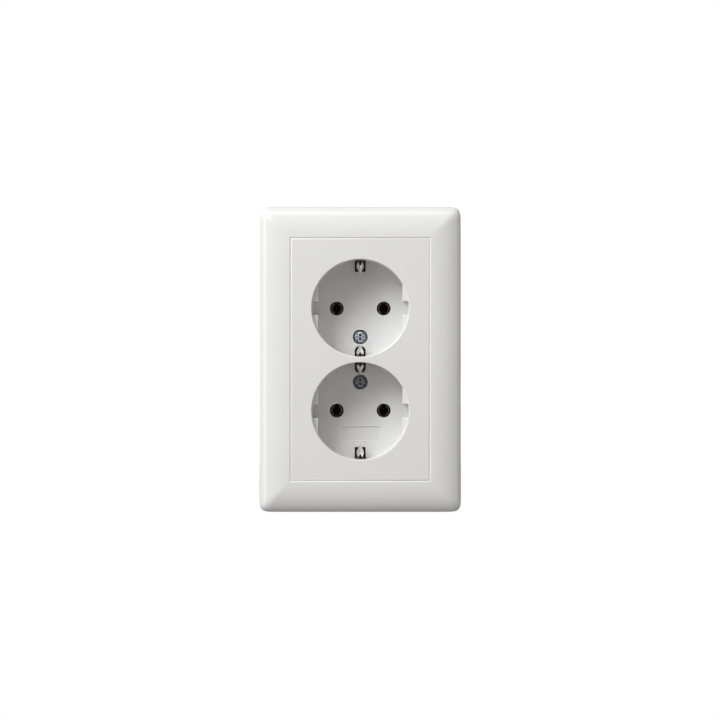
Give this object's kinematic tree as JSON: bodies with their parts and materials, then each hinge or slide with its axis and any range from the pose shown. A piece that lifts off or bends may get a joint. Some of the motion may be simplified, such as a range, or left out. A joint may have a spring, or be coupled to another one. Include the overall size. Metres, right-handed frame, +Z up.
{
  "type": "double earthed wall socket",
  "caption": "White double wall socket: one upright cover frame and plate with two round plug wells, side earth clips and pin holes, on a flush insert with spreading claws.",
  "frame": {"origin": "centre of the two box screws, on the wall plane; it is also the middle of the cover frame's rear outline", "axes": "+Z up, the front looks along -Y, +X to the right of a person facing the socket; the wall surface is the plane Y = 0"},
  "size_m": [0.0814, 0.048, 0.1228],
  "materials": {
    "frame_plastic": "glossy white moulded thermoplastic",
    "plate_plastic": "white moulded thermoplastic, silky gloss",
    "insert_plastic": "light grey moulded thermoset, matt",
    "rear_plastic": "off-white moulded polyamide, matt",
    "ring_steel": "galvanised sheet steel",
    "zinc_steel": "blue-passivated zinc on steel",
    "claw_steel": "yellow-passivated zinc on steel",
    "contact_brass": "bare brass sheet",
    "clip_nickel": "nickel-plated spring bronze",
    "spring_steel": "bright spring steel"
  },
  "bodies": {
    "socket": {"cover_frame": "frame_plastic", "centre_plate": "plate_plastic", "upper_plate_screw": "zinc_steel", "lower_plate_screw": "zinc_steel", "support_ring": "ring_steel", "ring_screws": "zinc_steel", "insert_base": "insert_plastic", "rear_cover": "rear_plastic", "rear_cover_screws": "zinc_steel", "line_rail": "contact_brass", "neutral_rail": "contact_brass", "contact_springs": "spring_steel", "line_clamp": "zinc_steel", "line_terminal_screw": "zinc_steel", "neutral_clamp": "zinc_steel", "neutral_terminal_screw": "zinc_steel", "earth_clamp": "zinc_steel", "earth_terminal_screw": "zinc_steel", "earth_strap": "clip_nickel", "earth_link": "contact_brass", "left_claw_rivets": "zinc_steel", "right_claw_rivets": "zinc_steel"},
    "left_claw": {"left_claw": "claw_steel"},
    "left_claw_nut": {"left_claw_nut": "zinc_steel"},
    "left_claw_screw": {"left_claw_screw": "zinc_steel"},
    "right_claw": {"right_claw": "claw_steel"},
    "right_claw_nut": {"right_claw_nut": "zinc_steel"},
    "right_claw_screw": {"right_claw_screw": "zinc_steel"}
  },
  "joints": [
    {"name": "left_claw_screw_turn", "type": "hinge", "parent": "socket", "child": "left_claw_screw", "pos_m": [-0.0236, 0, 0], "axis": [0, 1, 0], "range_deg": [0, 1200]},
    {"name": "left_claw_nut_slide", "type": "slide", "parent": "socket", "child": "left_claw_nut", "axis": [0, -1, 0], "range_m": [0, 0.002]},
    {"name": "left_claw_swing", "type": "hinge", "parent": "socket", "child": "left_claw", "pos_m": [-0.0209, 0.0024, 0], "axis": [0, 0, 1], "range_deg": [0, 16]},
    {"name": "right_claw_screw_turn", "type": "hinge", "parent": "socket", "child": "right_claw_screw", "pos_m": [0.0236, 0, 0], "axis": [0, 1, 0], "range_deg": [0, 1200]},
    {"name": "right_claw_nut_slide", "type": "slide", "parent": "socket", "child": "right_claw_nut", "axis": [0, -1, 0], "range_m": [0, 0.002]},
    {"name": "right_claw_swing", "type": "hinge", "parent": "socket", "child": "right_claw", "pos_m": [0.0209, 0.0024, 0], "axis": [0, 0, -1], "range_deg": [0, 16]}
  ],
  "couplings": [
    {"joint": "left_claw_screw_turn", "follows": "left_claw_nut_slide", "rad_per_m": 10472},
    {"joint": "left_claw_swing", "follows": "left_claw_nut_slide", "rad_per_m": 139.62},
    {"joint": "right_claw_screw_turn", "follows": "right_claw_nut_slide", "rad_per_m": 10472},
    {"joint": "right_claw_swing", "follows": "right_claw_nut_slide", "rad_per_m": 139.62}
  ]
}
